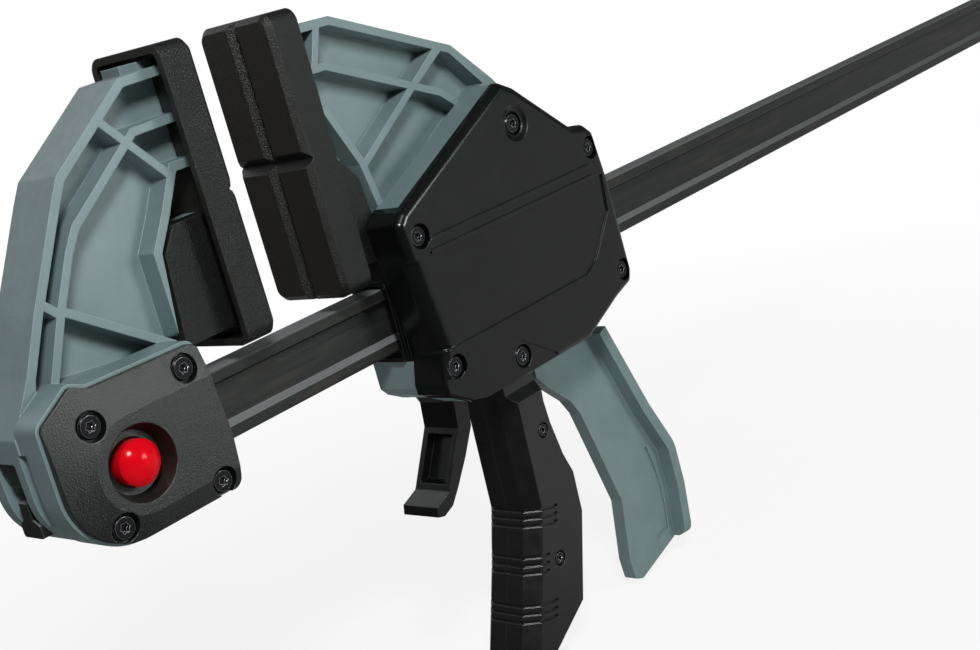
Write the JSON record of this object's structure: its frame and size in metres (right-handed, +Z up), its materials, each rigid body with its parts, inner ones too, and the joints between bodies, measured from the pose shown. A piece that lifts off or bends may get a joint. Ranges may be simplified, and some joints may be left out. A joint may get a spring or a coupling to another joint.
{
  "type": "quick release bar clamp",
  "caption": "One-handed quick release bar clamp: fixed jaw on the end of an I-section bar, sliding head with squeeze lever, release trigger and pistol grip, ribbed jaws with padded faces.",
  "frame": {"origin": "centre of the fixed jaw pad's clamping face, where its two vee grooves cross", "axes": "+X along the bar towards its free end (the clamping face's outward normal), +Z up through the jaws, -Y towards the side with the covers and the red button"},
  "size_m": [0.8468, 0.0445, 0.2525],
  "materials": {
    "grey_body": "satin, fine moulded grain",
    "black_cover": "satin with a coarse spark-eroded grain",
    "black_trim": "satin",
    "grip_black": "matt",
    "pad_rubber": "coarse grain, smoother on the clamping lands",
    "bar_steel": "blackened and oiled, rubbed along the edges",
    "plate_steel": "ground",
    "pin_steel": "turned",
    "spring_steel": "drawn wire",
    "screw_steel": "black oxide, glossy",
    "red_button": "glossy"
  },
  "bodies": {
    "clamp_bar": {"bar": "bar_steel", "bar_stop_pin": "pin_steel", "fixed_jaw": "grey_body", "fixed_jaw_pad": "pad_rubber", "button_cover": "black_cover", "button_cover_screws": "screw_steel"},
    "button": {"release_button": "red_button", "locking_plunger": "pin_steel", "button_spring": "spring_steel"},
    "head": {"head_casting": "grey_body", "moving_jaw_pad": "pad_rubber", "front_guide": "black_trim", "rear_guide": "black_trim", "head_cover": "black_cover", "head_cover_screws": "screw_steel", "rear_cover": "black_cover", "rear_cover_screws": "screw_steel", "lever_pivot_pin": "pin_steel", "trigger_pivot_pin": "pin_steel", "drive_spring": "spring_steel", "trigger_spring": "spring_steel", "grip_front_half": "grip_black", "grip_rear_half": "grip_black", "grip_screws": "screw_steel"},
    "lever": {"squeeze_lever": "grey_body"},
    "drive_pack": {"drive_plates": "plate_steel"},
    "brake": {"brake_plate": "plate_steel"},
    "trigger": {"release_trigger": "black_trim"}
  },
  "joints": [
    {"name": "head_slide", "type": "slide", "parent": "clamp_bar", "child": "head", "axis": [1, 0, 0], "range_m": [-0.0282, 0.5815]},
    {"name": "lever_squeeze", "type": "hinge", "parent": "head", "child": "lever", "pos_m": [0.13, 0, -0.0865], "axis": [0, 1, 0], "range_deg": [0, 18], "stiffness_Nm_per_rad": 2, "springref_deg": -8.59},
    {"name": "drive_feed", "type": "slide", "parent": "head", "child": "drive_pack", "axis": [1, 0, 0], "range_m": [0, 0.0029], "deforming": ["drive_spring"]},
    {"name": "trigger_pull", "type": "hinge", "parent": "head", "child": "trigger", "pos_m": [0.077, 0, -0.079], "axis": [0, -1, 0], "range_deg": [0, 11], "stiffness_Nm_per_rad": 0.6, "springref_deg": -8.59, "deforming": ["trigger_spring"]},
    {"name": "brake_tilt", "type": "hinge", "parent": "head", "child": "brake", "pos_m": [0.0705, 0, -0.0393], "axis": [0, -1, 0], "range_deg": [0, 1.8]},
    {"name": "button_press", "type": "slide", "parent": "clamp_bar", "child": "button", "axis": [0, 1, 0], "range_m": [0, 0.0052], "stiffness_N_per_m": 600, "springref_m": -0.004, "deforming": ["button_spring"]}
  ],
  "couplings": [
    {"joint": "drive_feed", "follows": "lever_squeeze", "m_per_rad": 0.0088},
    {"joint": "brake_tilt", "follows": "trigger_pull", "ratio": 0.152}
  ]
}
